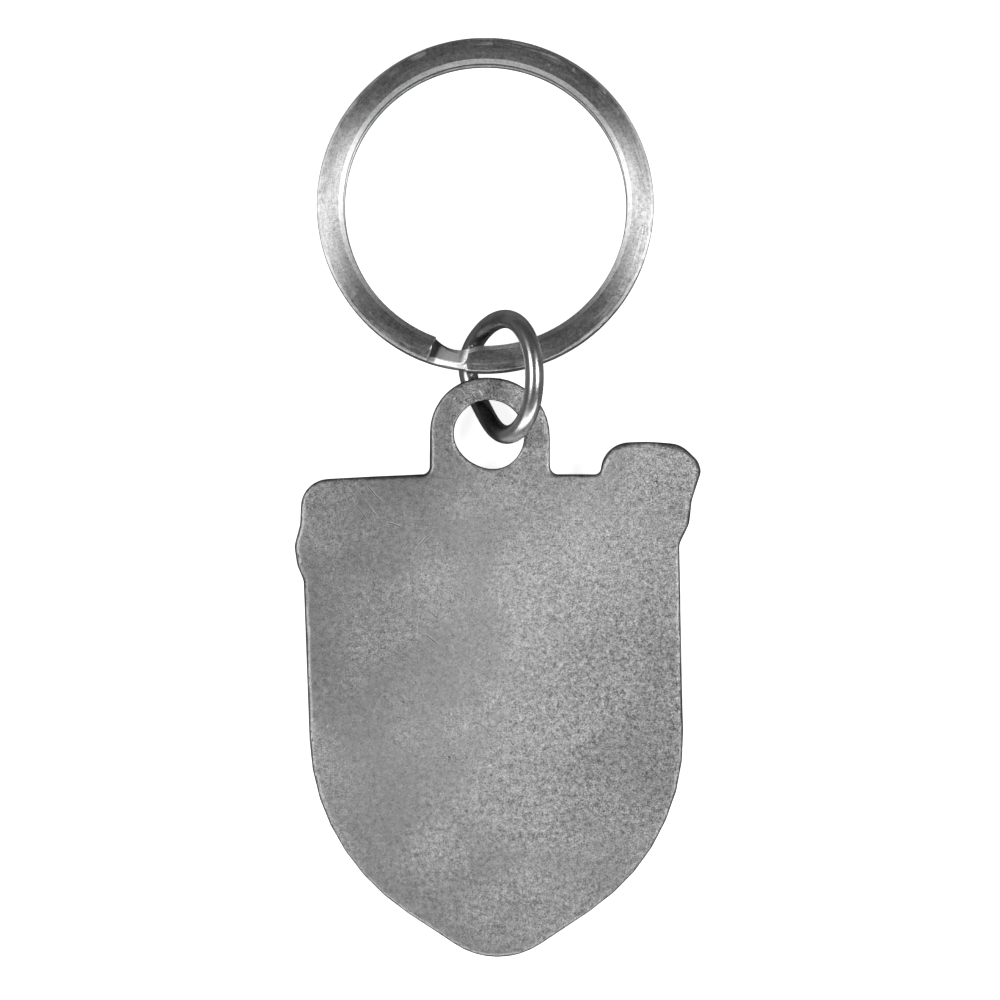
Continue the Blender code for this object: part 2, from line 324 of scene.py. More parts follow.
# %% [markdown]
# Some marks are not scattered but sit at a place one can point to, such as a knock from a key. A single
# mark is a thin ellipse with soft ends. Its lip is the metal that a cut pushes up on both sides, which rubs
# bright.

# %% Group: single mark
mark_group, fed, out = start_group(
    "single_mark",
    [
        ("Vector", "Vector", (0, 0, 0)),
        ("Place", "Vector", (0, 0, 0)),
        ("Angle", "Float", 0.0),
        ("Length", "Float", 2.0),
        ("Width", "Float", 0.1),
    ],
    ["Mask", "Lip"],
)
moved = vector_maths(mark_group, "SUBTRACT", fed["Vector"], fed["Place"]).outputs[0]
back_turn = maths(mark_group, "MULTIPLY", fed["Angle"], -1.0)
turned = add(
    mark_group, "VectorRotate", moved, Angle=back_turn, settings={"rotation_type": "Z_AXIS"}
).outputs[0]
parts = add(mark_group, "SeparateXYZ", turned).outputs
bow = maths(mark_group, "MULTIPLY_ADD", cloud(mark_group, fed["Vector"], 1.0), 0.2, -0.1)
across = maths(mark_group, "ABSOLUTE", maths(mark_group, "ADD", parts["Y"], bow))
beside = maths(mark_group, "ABSOLUTE", maths(mark_group, "SUBTRACT", across, fed["Width"]))
along = maths(mark_group, "ABSOLUTE", parts["X"])
half = maths(mark_group, "MULTIPLY", fed["Length"], 0.5)
fade = ramp(mark_group, along, maths(mark_group, "MULTIPLY", half, 0.6), half, 1.0, 0.0)
for distance, label in ((across, "Mask"), (beside, "Lip")):
    stroke = ramp(mark_group, distance, 0.0, fed["Width"], 1.0, 0.0)
    mark_group.links.new(maths(mark_group, "MULTIPLY", stroke, fade), out[label])
print("group:", mark_group.name)

# %% [markdown]
# Pewter is a soft tin alloy. As cast it is a dull mid grey, with cloudy swirls where the melt flowed and
# cooled, and it is never polished on the back of a souvenir. Its middle is a little lighter, and a few other
# places get painted shade and one gets painted light, standing in for lamps that light the back unevenly.
# The first cell makes these slow changes of tone. The lighter patch is found by distance, and a slow noise
# bends its edge, because a patch with a true round edge would look airbrushed. Each painted spot is a place
# on the back, how far it reaches and how much it darkens or lightens the tone.

# %% Cast pewter: clouds and rubbed patch
PEWTER = 0.36
CLOUDS = 0.2
PEWTER_LIGHTER_PATCH = 0.11
LIGHTER_PATCH_CENTRE = Vector((-1.0, -13.5))
LIGHTER_PATCH_REACH = 27.0
WANDER = 14.0
BACK_HEIGHT = 4.0
PAINTED_LIGHT_AND_SHADE_SPOTS = [
    (-9.5, 7.0, 16.0, -0.11),
    (-13.0, -11.5, 11.0, -0.09),
    (13.0, -18.5, 16.0, -0.09),
    (-2.5, 0.5, 5.0, 0.06),
]


def new_material(name):
    material = bpy.data.materials.new(name)
    material.use_nodes = True
    return material, material.node_tree, material.node_tree.nodes["Principled BSDF"]


pewter, tree, shader = new_material("cast_pewter")
own = millimetres(tree)
swirl = cloud(tree, own, 7.0, 4.0, 0.6, 1.8)
drift = add(tree, "TexNoise", own, Scale=0.07, Detail=2.0).outputs["Color"]
wandered = vector_maths(tree, "MULTIPLY_ADD", drift, (WANDER, WANDER, 0.0), own).outputs[0]
lighter_patch_middle = (LIGHTER_PATCH_CENTRE.x + WANDER / 2, LIGHTER_PATCH_CENTRE.y + WANDER / 2, BACK_HEIGHT)
from_lighter_patch = vector_maths(tree, "DISTANCE", wandered, lighter_patch_middle).outputs["Value"]
# A broad lighter patch low in the middle of the back, with an edge bent by slow noise.
lighter_patch = ramp(tree, from_lighter_patch, 3.0, LIGHTER_PATCH_REACH, 1.0, 0.0)
tone = maths(tree, "MULTIPLY_ADD", swirl, CLOUDS, PEWTER - CLOUDS / 2)
# Painted shade and painted light: each spot darkens or lightens the colour where the lamps leave the back
# darker or lighter.
for x, y, reach, change in PAINTED_LIGHT_AND_SHADE_SPOTS:
    away = vector_maths(tree, "DISTANCE", own, (x, y, BACK_HEIGHT)).outputs["Value"]
    tone = maths(tree, "ADD", tone, ramp(tree, away, 0.3 * reach, reach, change, 0.0))
shaded = maths(tree, "MULTIPLY_ADD", lighter_patch, PEWTER_LIGHTER_PATCH, tone)
print("shaded places:", len(PAINTED_LIGHT_AND_SHADE_SPOTS))

# %% [markdown]
# The skin comes next. The grain is coarser in some places than in others, and on the whole it is coarser
# towards the right. Where two fronts of melt met they left creases, which are thin dark lines, and wisps,
# which are soft light ones. Both are the places where a noise crosses its middle value, which are always
# lines.

# %% Cast pewter: skin
grain = place(tree, grain_group, Vector=own, Size=0.13)
skin = cloud(tree, own, 0.5, 2.0, 0.5)
coarse_places = ramp(tree, cloud(tree, own, 7.0, 2.0), 0.35, 0.65)
coarse_places = maths(tree, "MULTIPLY_ADD", coarse_places, 0.5, 0.45)
coarse_side = ramp(tree, add(tree, "SeparateXYZ", own).outputs["X"], -12.0, 14.0, 0.0, 0.4)
coarse = maths(tree, "ADD", coarse_places, coarse_side)
pits = place(tree, pit_group, Vector=own, Spacing=0.8, Radius=0.12, Crowding=0.5)["Mask"]
scratches = place(tree, scratch_group, Vector=own, Angle=-0.95, Length=3.5, Spacing=0.8, Width=0.09)["Mask"]
wear = place(tree, wear_group, Vector=own, Amount=0.05, Patch=1.2)
# Mask for the painted shade on the steep sides.
flank = place(tree, flank_group, Steep=0.45, Flat=0.88)["Mask"]


def lines_in_cloud(tree, noise_value, width):
    """Thin lines where a noise crosses its middle value."""
    off_middle = maths(tree, "ABSOLUTE", maths(tree, "SUBTRACT", noise_value, 0.5))
    return ramp(tree, off_middle, 0.0, width, 1.0, 0.0)


crease_lines = lines_in_cloud(tree, cloud(tree, own, 1.6, 3.0, 0.6), 0.012)
creases = maths(tree, "MULTIPLY", crease_lines, ramp(tree, cloud(tree, own, 2.6, 1.0), 0.64, 0.72))
wisp_lines = lines_in_cloud(tree, cloud(tree, own, 8.0, 5.0, 0.6, 2.5), 0.03)
wisps = maths(tree, "MULTIPLY", wisp_lines, ramp(tree, cloud(tree, own, 5.0), 0.45, 0.65))
print("nodes so far:", len(tree.nodes))

# %% [markdown]
# A few marks are this fob's own. Cuts are dark inside with a bright lip. The longest of them run side by
# side at the upper left, where something hard slid over it. Nicks are small, bright and fresh, and sit on
# the lug, where the rings knock. Each mark is its place on the back, its angle in degrees, its length and
# its width.

# %% Cast pewter: cuts and nicks
CUTS = [
    (-10.88, -0.5, -52, 3.4, 0.06),
    (-11.0, -0.55, -52, 2.6, 0.04),
    (-10.3, 0.27, -48, 2.2, 0.06),
    (-11.5, -1.1, -52, 2.8, 0.05),
    (-8.6, -2.3, -18, 1.3, 0.07),
    (-6.1, -3.6, 42, 1.2, 0.07),
    (-2.0, 8.3, -50, 0.6, 0.07),
    (0.9, 7.3, -30, 1.0, 0.07),
    (7.3, -11.5, 4, 1.3, 0.05),
    (11.2, -1.4, 38, 0.8, 0.06),
    (0.6, -5.6, 0, 1.2, 0.06),
    (-5.5, -11.8, -40, 1.6, 0.07),
]
NICKS = [
    (-1.4, 8.6, -55, 0.6, 0.09),
    (-3.6, 8.1, 30, 0.3, 0.08),
    (-0.5, 8.35, -70, 0.35, 0.08),
    (0.3, 8.1, -20, 0.7, 0.07),
    (1.1, 7.6, -50, 0.6, 0.09),
    (-1.5, 9.3, 0, 0.25, 0.08),
]


def place_marks(tree, vector, marks):
    """Places every mark of a list on the fob's back. Returns the outputs of each."""
    placed = []
    for x, y, angle, length, width in marks:
        spot = {"Place": (x, y, BACK_HEIGHT), "Angle": math.radians(angle), "Length": length, "Width": width}
        placed.append(place(tree, mark_group, Vector=vector, **spot))
    return placed


def strongest(tree, masks):
    """The highest of the masks at each point."""
    highest = masks[0]
    for mask in masks[1:]:
        highest = maths(tree, "MAXIMUM", highest, mask)
    return highest


cut_marks = place_marks(tree, own, CUTS)
cuts = strongest(tree, [mark["Mask"] for mark in cut_marks])
cut_lips = strongest(tree, [mark["Lip"] for mark in cut_marks])
nicks = strongest(tree, [mark["Mask"] for mark in place_marks(tree, own, NICKS)])
print("cuts and nicks:", len(CUTS), len(NICKS))

# %% [markdown]
# Now the parts are stacked. A colour is a tone with layers of darker hollows, dark holes, bare bright metal
# and painted shade over it, and the relief is a height in millimetres that the Bump node turns into shading.
# The sides are darkest, with painted shade where their steep walls would reflect the dark room. The
# roughness is middling and follows the swirls, so that they also show in the gloss.

# %% Cast pewter: colour, roughness and relief
PEWTER_ROUGHNESS = 0.46

grainy = maths(tree, "MULTIPLY", maths(tree, "SUBTRACT", grain["Height"], 0.5), coarse)
mottle = maths(tree, "SUBTRACT", skin, 0.5)
specks = maths(tree, "MULTIPLY", grain["Specks"], coarse)
holes = maths(tree, "MULTIPLY", grain["Holes"], coarse)
tone = weighted_sum(tree, shaded, [(grainy, 1.3), (mottle, 0.2), (specks, 0.07), (wisps, 0.05)])
colour = layered(
    tree,
    tone,
    [
        (holes, 0.6, 0.12),
        # Painted shade: the steep sides are made nearly black.
        (flank, 0.85, 0.07),
        (wear["Worn"], 0.12, 0.8),
        # Darker in the hollows.
        (wear["Hollows"], 0.6, 0.12),
        (pits, 0.4, 0.1),
        (creases, 0.6, 0.1),
        (scratches, 0.2, 0.7),
        (cut_lips, 0.45, 0.75),
        (cuts, 0.65, 0.12),
        (nicks, 0.8, 0.95),
    ],
)
tree.links.new(colour, shader.inputs["Base Color"])
rough = weighted_sum(tree, PEWTER_ROUGHNESS + 0.08, [(swirl, -0.16), (pits, 0.2)])
tree.links.new(rough, shader.inputs["Roughness"])
shader.inputs["Metallic"].default_value = 1.0
raised = maths(tree, "MULTIPLY", grain["Height"], coarse)
heights = [(raised, 0.08), (skin, 0.03), (pits, -0.05), (creases, -0.03), (scratches, -0.02), (cuts, -0.06)]
relief = weighted_sum(tree, 0.0, heights)
bump = add(tree, "Bump", Strength=0.8, Distance=MM, Height=relief)
tree.links.new(bump.outputs[0], shader.inputs["Normal"])
print("material:", pewter.name)

# %% [markdown]
# The fob is one casting, about 48 mm long and 4 mm thick, with a lug to hang by. Its front carries the
# raised rim and a plain ribbon, chevron and roundels, and it lies face down. The frame has the shape but
# with crisp corners. A casting has none: the metal shrinks, and the mould's sand rounds everything. So a
# copy of the frame's fob is rebuilt from even small cubes with the Remesh modifier, then smoothed, and then
# made slightly lumpy.

# %% Fob casting: remesh and soften
FOB_VOXEL = 0.185 * MM
FOB_SMOOTHING = 2


def evaluated_mesh(obj):
    """The mesh of obj with its modifiers applied."""
    bpy.context.view_layer.update()
    graph = bpy.context.evaluated_depsgraph_get()
    return bpy.data.meshes.new_from_object(obj.evaluated_get(graph))


def weld(mesh, distance):
    shell = bmesh.new()
    shell.from_mesh(mesh)
    bmesh.ops.remove_doubles(shell, verts=shell.verts, dist=distance)
    shell.to_mesh(mesh)
    shell.free()


fob = bpy.data.objects.new("fob_casting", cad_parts["fob"].data.copy())
scene.collection.objects.link(fob)
weld(fob.data, 0.001 * MM)
rebuild = fob.modifiers.new("rebuild", "REMESH")
rebuild.mode = "VOXEL"
rebuild.voxel_size = FOB_VOXEL
soften = fob.modifiers.new("soften", "SMOOTH")
soften.factor = 0.5
soften.iterations = FOB_SMOOTHING
fob_mesh = evaluated_mesh(fob)
fob.modifiers.clear()
fob.data = fob_mesh
print("fob faces:", len(fob_mesh.polygons))

# %% [markdown]
# Now the lumps. Three sizes of noise move each point along its normal: a slow warp of the whole plate, the
# waves that show as soft patches of light, and small dents. None is more than a few hundredths of a
# millimetre, but a reflection turns by twice the angle of the surface, so they show.

# %% Fob casting: lumps
LUMPS = [(14.0, 0.05), (4.0, 0.022), (1.2, 0.007)]


def lump_height(place_mm):
    """How far out the surface stands here, in millimetres."""
    return sum(depth * noise.noise(place_mm / size + Vector((size, 3.7, 0))) for size, depth in LUMPS)


normals = [v.normal.copy() for v in fob_mesh.vertices]
for vertex, normal in zip(fob_mesh.vertices, normals):
    vertex.co += normal * lump_height(vertex.co / MM) * MM
print("sizes of lumps:", len(LUMPS))

# %% [markdown]
# Some stretches of the back's edge never filled out in the mould or have been rubbed down, so there the
# back rolls over softly before its wall begins. Each soft stretch is a place, how far it reaches, how wide
# the roll is and how deep. A k-d tree of the wall's points tells quickly how far any point of the back is
# from the nearest edge.

# %% Fob casting: soft edges
WALL_DEPTH = 0.6 * MM
WALL_STEEPNESS = 0.4
SOFT_EDGES = [
    (16.0, 3.0, 3.4, 0.7, 0.22),
    (9.7, 3.8, 2.2, 0.55, 0.16),
    (16.2, -2.4, 2.2, 0.35, 0.14),
    (-6.5, 1.6, 5.0, 0.28, 0.14),
    (15.6, -16.5, 4.0, 0.25, 0.1),
]
back_height = max(v.co.z for v in fob_mesh.vertices) - WALL_DEPTH
near_back = [k for k, v in enumerate(fob_mesh.vertices) if v.co.z > back_height]
walls = [fob_mesh.vertices[k].co for k in near_back if abs(normals[k].z) < WALL_STEEPNESS]
outline = kdtree.KDTree(len(walls))
for k, spot in enumerate(walls):
    outline.insert((spot.x, spot.y, 0), k)
outline.balance()
for k in near_back:
    spot = fob_mesh.vertices[k].co
    from_edge = outline.find((spot.x, spot.y, 0))[2] / MM
    drop = 0.0
    for x, y, reach, width, depth in SOFT_EDGES:
        share = 1 - math.hypot(spot.x / MM - x, spot.y / MM - y) / reach
        if share > 0 and from_edge < width:
            drop = max(drop, depth * min(1.0, 2 * share) * (1 - from_edge / width) ** 2)
    spot.z -= drop * MM
print("outline points:", len(walls))

# %% [markdown]
# The finished casting gets its pewter and takes the place of the frame's fob. It is shaded smooth all over,
# since the remeshed skin is fine enough to show its own rounded edges.

# %% Fob casting: material and place
fob_mesh.materials.clear()
fob_mesh.materials.append(pewter)
fob_mesh.shade_smooth()
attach(fob, "fob")
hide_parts("fob")
print("fob box in mm:", [round(side / MM, 2) for side in fob.dimensions])

# %% [markdown]
# Plated wire is smooth and bright. The plating itself has almost no texture, only a faint haze, small pits
# and the scratches of keys. The low roughness keeps its reflections sharp. The hook of wire inside the
# lug's hole gets a painted shade that turns it nearly black, standing in for the shadow of the lug.

# %% Plated wire
WIRE_TONE = 0.46
WIRE_ROUGHNESS = 0.17
HOOK_PLACE = (-1.3, -2.7, -1.8)
HOOK_ANGLE = math.radians(-60)

wire_metal, tree, shader = new_material("plated_wire")
own = millimetres(tree)
haze = cloud(tree, own, 1.6, 3.0, 0.6)
grain = place(tree, grain_group, Vector=own, Size=0.12)
pits = place(tree, pit_group, Vector=own, Spacing=0.7, Radius=0.09, Crowding=0.45)["Mask"]
wear = place(tree, wear_group, Vector=own, Amount=0.08, Patch=0.8)
scratches = place(tree, scratch_group, Vector=own, Angle=0.7, Length=1.4, Spacing=0.3, Width=0.5)["Mask"]
# Painted shade: the hook under the lug is darkened where the lug's shadow falls.
painted_hook_shade = place(tree, mark_group, Vector=own, Place=HOOK_PLACE, Angle=HOOK_ANGLE, Length=6.0, Width=1.5)["Mask"]
tone = maths(tree, "MULTIPLY_ADD", haze, 0.25, WIRE_TONE)
layers = [(wear["Worn"], 0.4, 0.7), (pits, 0.5, 0.1), (scratches, 0.3, 0.8), (painted_hook_shade, 0.85, 0.1)]
tree.links.new(layered(tree, tone, layers), shader.inputs["Base Color"])
tree.links.new(maths(tree, "MULTIPLY_ADD", haze, 0.24, WIRE_ROUGHNESS), shader.inputs["Roughness"])
shader.inputs["Metallic"].default_value = 1.0
relief = weighted_sum(tree, 0.0, [(grain["Height"], 0.008), (pits, -0.02), (scratches, -0.006)])
bump = add(tree, "Bump", Strength=0.5, Distance=MM, Height=relief)
tree.links.new(bump.outputs[0], shader.inputs["Normal"])
print("material:", wire_metal.name)

# %% [markdown]
# A jump ring is one turn of wire, bent on a mandrel, cut, and closed with two pliers so that its cut ends
# meet. This one was closed by hand, so it is a little fuller on one side and pushed in at the other. It
# leans over the lug, so from above it looks narrow. Its centreline is one formula, and a round section is
# swept along it.

# %% Jump ring: centreline
JUMP_CENTRE = (0.16 * MM, 9.89 * MM)
JUMP_RADIUS = 4.75 * MM
JUMP_WIRE = 1.55 * MM
JUMP_LEAN = math.radians(53)
JUMP_FULLNESS = 0.156
JUMP_FLAT = 0.115
JUMP_DIP = 0.5 * MM
JUMP_PINCH_ANGLE = math.radians(230)
JUMP_JOINT_ANGLE = math.radians(251)
JUMP_JOINT_GAP = 0.14 * MM
JUMP_STEPS = 240
WIRE_SIDES = 32


def jump_point(angle):
    """A point of the wire about the ring's middle, angle 0 towards the split ring, 90 at its high side."""
    pinch = max(0.0, math.cos(angle - JUMP_PINCH_ANGLE))
    radius = JUMP_RADIUS * (1 - JUMP_FLAT * pinch**4)
    across = radius * math.sin(angle)
    along = radius * math.cos(angle) * (1 + JUMP_FULLNESS * math.sin(angle))
    dip = JUMP_DIP * pinch**3
    x = across * math.cos(JUMP_LEAN) + dip * math.sin(JUMP_LEAN)
    z = across * math.sin(JUMP_LEAN) - dip * math.cos(JUMP_LEAN)
    return Vector((x, along, z))


half_gap = JUMP_JOINT_GAP / JUMP_RADIUS / 2
first_end = JUMP_JOINT_ANGLE + half_gap
sweep = 2 * math.pi - 2 * half_gap
wire_angles = [first_end + sweep * k / JUMP_STEPS for k in range(JUMP_STEPS + 1)]
wire_length = sum((jump_point(b) - jump_point(a)).length for a, b in zip(wire_angles, wire_angles[1:]))
print("wire length in mm:", round(wire_length / MM, 2))

# %% [markdown]
# A loft joins one section to the next with a strip of faces, and closes both ends flat, as cut wire is.
# Both rings are made this way. A curve with a bevel would be quicker, but it can't change its section along
# the way.


# %% Loft helper
def loft(name, sections):
    """A closed solid through sections, each a list of the same number of points, with flat ends."""
    shell = bmesh.new()
    rings = [[shell.verts.new(p) for p in section] for section in sections]
    for first, second in zip(rings, rings[1:]):
        for k in range(len(first)):
            shell.faces.new((first[k - 1], first[k], second[k], second[k - 1]))
    shell.faces.new(rings[0])
    shell.faces.new(reversed(rings[-1]))
    bmesh.ops.recalc_face_normals(shell, faces=shell.faces)
    mesh = bpy.data.meshes.new(name)
    shell.to_mesh(mesh)
    shell.free()
    piece = bpy.data.objects.new(name, mesh)
    scene.collection.objects.link(piece)
    return piece


def finish_metal(piece, material, crease):
    """Gives a piece its material. It is smooth except where faces meet at more than crease degrees."""
    piece.data.materials.append(material)
    piece.data.shade_smooth()
    piece.data.set_sharp_from_angle(angle=math.radians(crease))


print("loft helper ready")

# %% [markdown]
# Each station of the jump ring is a circle square to the wire. Cutting leaves a small chamfer on both ends,
# so the first and the last circle are a little smaller. The ends meet with a hair's gap, as in any butt
# joint.

# %% Jump ring: sweep the round section
END_CHAMFER = 0.12 * MM


def wire_ring(angle, radius, shift=0.0):
    """The wire's round section at this angle, in a plane square to the wire, moved along it by shift."""
    nudge = math.radians(0.5)
    forward = (jump_point(angle + nudge) - jump_point(angle - nudge)).normalized()
    flat = Vector((-math.sin(JUMP_LEAN), 0, math.cos(JUMP_LEAN)))
    side = forward.cross(flat).normalized()
    rise = side.cross(forward)
    middle = jump_point(angle) + forward * shift
    turns = [2 * math.pi * k / WIRE_SIDES for k in range(WIRE_SIDES)]
    return [middle + radius * (side * math.cos(t) + rise * math.sin(t)) for t in turns]


sections = [wire_ring(angle, JUMP_WIRE / 2) for angle in wire_angles]
sections[0] = wire_ring(wire_angles[0], JUMP_WIRE / 2, END_CHAMFER)
sections[-1] = wire_ring(wire_angles[-1], JUMP_WIRE / 2, -END_CHAMFER)
sections.insert(0, wire_ring(wire_angles[0], JUMP_WIRE / 2 - END_CHAMFER))
sections.append(wire_ring(wire_angles[-1], JUMP_WIRE / 2 - END_CHAMFER))
jump_ring = loft("jump_ring_wire", sections)
lowest = min(jump_point(angle).z for angle in wire_angles)
jump_ring.location = (*JUMP_CENTRE, JUMP_WIRE / 2 - lowest)
finish_metal(jump_ring, wire_metal, 40)
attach(jump_ring, "jump_ring")
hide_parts("jump_ring")
print("jump ring faces:", len(jump_ring.data.polygons))

# %% [markdown]
# The split ring is flattened steel wire. Rolling it flat and winding it leaves fine lines along its length.
# Such lines spread light across them and not along them, so a flat ring under two side lamps shows a bow
# tie: bright left and right, dark at top and bottom. The lines are noise, sampled by direction and by
# distance from the middle, so their pattern has no seam where the angle starts over. The rubs of keys use
# the angle itself, and their seam hides in the bright part at the left.

# %% Plated steel: lines and rubs
ROUND_LINES = 9.0
RUB_RADIUS = 13.0
RUBBED_RIM = (12.9, 13.5)

steel, tree, shader = new_material("plated_steel")
own = millimetres(tree)
parts = add(tree, "SeparateXYZ", own).outputs
flat_way = add(tree, "CombineXYZ", parts["X"], parts["Y"], 0.0).outputs[0]
radius = vector_maths(tree, "LENGTH", flat_way).outputs["Value"]
outward = vector_maths(tree, "NORMALIZE", flat_way).outputs[0]
around = vector_maths(tree, "SCALE", outward, None, None, ROUND_LINES).outputs[0]
height = add(tree, "CombineXYZ", parts["Z"], 0.0, maths(tree, "MULTIPLY", radius, ROUND_LINES)).outputs[0]
drawn = vector_maths(tree, "ADD", around, height).outputs[0]
lines = cloud(tree, drawn, 1.0, 3.0, 0.6)
angle = maths(tree, "ARCTAN2", parts["Y"], parts["X"])
polar = add(tree, "CombineXYZ", maths(tree, "MULTIPLY", angle, RUB_RADIUS), radius, 0.0).outputs[0]
rubs = place(tree, scratch_group, Vector=polar, Length=3.0, Spacing=0.2, Width=0.7)["Mask"]
rubs = maths(tree, "MULTIPLY", rubs, ramp(tree, radius, *RUBBED_RIM, 0.15, 1.0))
print("nodes so far:", len(tree.nodes))

# %% [markdown]
# Between its two turns the wire crosses from one level to the other. Its inner half there gets a painted
# shade, for the facet that slopes away from the lamps, so a mask for that half is cut out of the ring's own
# angle and radius. The bevels along the face's edges get a painted highlight, brighter than the face, and
# the sides of the wire get painted shade.

# %% Plated steel: crossover, bevels and sides
CROSSOVER_START = math.radians(-96.5)
CROSSOVER_END = math.radians(-110.3)
PAINTED_SHADE_RADIUS = 13.3

grain = place(tree, grain_group, Vector=own, Size=0.1)
pits = place(tree, pit_group, Vector=own, Spacing=0.8, Radius=0.12, Crowding=0.4)["Mask"]
wear = place(tree, wear_group, Vector=own, Amount=0.06, Patch=1.0)
# bevel feeds a painted highlight on the edges, and side a painted shade on the wire's sides.
bevel = place(tree, flank_group, Steep=0.88, Flat=0.97)["Mask"]
side = place(tree, flank_group, Steep=0.4, Flat=0.72)["Mask"]
past_start = ramp(tree, angle, CROSSOVER_START - 0.01, CROSSOVER_START - 0.05)
before_end = ramp(tree, angle, CROSSOVER_END, CROSSOVER_END + 0.004)
inner_half = ramp(tree, radius, PAINTED_SHADE_RADIUS, PAINTED_SHADE_RADIUS + 0.15, 1.0, 0.0)
# Mask for the painted shade on the crossover's inner half.
painted_crossover_shade = maths(tree, "MULTIPLY", maths(tree, "MULTIPLY", past_start, before_end), inner_half)
print("dulled arc in degrees:", round(math.degrees(CROSSOVER_START - CROSSOVER_END), 1))

# %% [markdown]
# The shader's anisotropic setting spreads the light across the lines, with a tangent that runs round the
# ring. Where keys have rubbed, the lines are gone and the metal is bare. A clear coat stands in for that:
# it reflects without any direction, and it is laid on only where the rubs are.

# %% Plated steel: colour and gloss
STEEL_TONE = -0.47
STEEL_ROUGHNESS = 0.33
DARKEST, LIGHTEST = 0.08, 0.98

# The bevel term is a painted highlight that lightens the edge bands.
tone = weighted_sum(tree, STEEL_TONE, [(grain["Height"], 1.4), (lines, 0.45), (bevel, 0.4)])
tone = add(tree, "Clamp", tone, DARKEST, LIGHTEST).outputs[0]
layers = [
    (wear["Worn"], 0.5, 0.85),
    (rubs, 0.6, 0.9),
    (pits, 0.5, 0.12),
    # Painted shade on the inner half of the crossover.
    (painted_crossover_shade, 0.8, 0.12),
    # Painted shade: the steep sides of the wire are made nearly black.
    (side, 0.9, 0.06),
]
tree.links.new(layered(tree, tone, layers), shader.inputs["Base Color"])
rough = weighted_sum(tree, STEEL_ROUGHNESS, [(grain["Height"], 0.16), (bevel, 0.1), (rubs, 0.4)])
tree.links.new(rough, shader.inputs["Roughness"])
tree.links.new(maths(tree, "MULTIPLY", rubs, 0.8), shader.inputs["Coat Weight"])
shader.inputs["Coat Roughness"].default_value = 0.32
shader.inputs["Coat IOR"].default_value = 2.6
shader.inputs["Metallic"].default_value = 1.0
shader.inputs["Anisotropic"].default_value = 0.95
shader.inputs["Anisotropic Rotation"].default_value = 0.25
round_ring = add(tree, "Tangent", settings={"direction_type": "RADIAL", "axis": "Z"})
tree.links.new(round_ring.outputs[0], shader.inputs["Tangent"])
relief = weighted_sum(tree, 0.0, [(grain["Height"], 0.014), (lines, 0.006), (rubs, -0.04), (pits, -0.02)])
bump = add(tree, "Bump", Strength=0.7, Distance=MM, Height=relief)
tree.links.new(bump.outputs[0], shader.inputs["Normal"])
print("material:", steel.name)

# %% [markdown]
# The wire goes round twice. Its section is a flat bar with a low crown and bevelled top edges. Between the
# turns it steps from the upper level to the lower in a short, narrower stretch, where the top is pressed
# into a ridge with a facet on each side. A loft carries the changing section along the ring, and each
# corner of the section keeps the same number of points, so that every section joins to the next.

# %% Split ring: section of the wire
SPLIT_CENTRE = (-1.05 * MM, 24.12 * MM)
SPLIT_OUTER = 14.0 * MM
SPLIT_BAND = 2.3 * MM
SPLIT_THICK = 0.9 * MM
SPLIT_TURN_GAP = 0.08 * MM
SPLIT_TILT = math.radians(-6)
SPLIT_UPPER_TIP = math.radians(249.7)
CROSSOVER_NARROWING = 0.55 * MM
LOWER_TURN_SHIFT = (0.03 * MM, -0.07 * MM)
LOWER_TURN_SHRINK = 0.07 * MM
LOWER_ROUNDING = 0.25 * MM
EDGE_ROUNDING = 0.07 * MM
INNER_BEVEL = 0.4 * MM
OUTER_BEVEL = 0.2 * MM
CRISP_BEVEL = 0.1 * MM
CROWN = 0.08 * MM
CROWN_ROUNDING = 2.5 * MM
RIDGE_PLACE = 0.05 * MM
RIDGE_SHIFT = 0.3 * MM
INNER_SLOPE = 0.55
OUTER_SLOPE = 0.65
INNER_PRESS = 0.16 * MM
OUTER_PRESS = 0.14 * MM
RIM_PRESS = 0.15 * MM
SIDE_DRAFT = 0.07 * MM
CORNER_STEPS = 5


def rounded_section(corners):
    """Points round a section. Each corner is how far outward, how far up, and the radius that rounds it."""
    points = []
    for i, (u, v, radius) in enumerate(corners):
        here = Vector((u, v))
        to_last = (Vector(corners[i - 1][:2]) - here).normalized()
        to_next = (Vector(corners[(i + 1) % len(corners)][:2]) - here).normalized()
        turn = math.pi - to_last.angle(to_next)
        centre = here + (to_last + to_next).normalized() * radius / math.cos(turn / 2)
        first = here + to_last * radius * math.tan(turn / 2) - centre
        for k in range(CORNER_STEPS + 1):
            angle = math.atan2(first.y, first.x) + turn * k / CORNER_STEPS
            points.append(centre + radius * Vector((math.cos(angle), math.sin(angle))))
    return points


def wire_section(width, pressed=0.0, leant=0.0, inner_bevel=INNER_BEVEL, outer_bevel=OUTER_BEVEL):
    """The wire's section. Pressing it drops its outer half, and leaning it drops its inner half."""
    right, top = width / 2, SPLIT_THICK / 2
    inner_top = top - CROWN - INNER_PRESS * leant
    outer_top = top - CROWN - OUTER_PRESS * pressed
    ridge_rounding = CROWN_ROUNDING * (1 - pressed) + EDGE_ROUNDING
    return rounded_section(
        [
            (right, -top, LOWER_ROUNDING),
            (right - SIDE_DRAFT, outer_top - OUTER_SLOPE * outer_bevel - RIM_PRESS * pressed, EDGE_ROUNDING),
            (right - SIDE_DRAFT - outer_bevel, outer_top, EDGE_ROUNDING),
            (RIDGE_PLACE + RIDGE_SHIFT * pressed, top, ridge_rounding),
            (-right + SIDE_DRAFT + inner_bevel, inner_top, EDGE_ROUNDING),
            (-right + SIDE_DRAFT, inner_top - INNER_SLOPE * inner_bevel, EDGE_ROUNDING),
            (-right, -top, LOWER_ROUNDING),
        ]
    )


print("points in a section:", len(wire_section(SPLIT_BAND)))

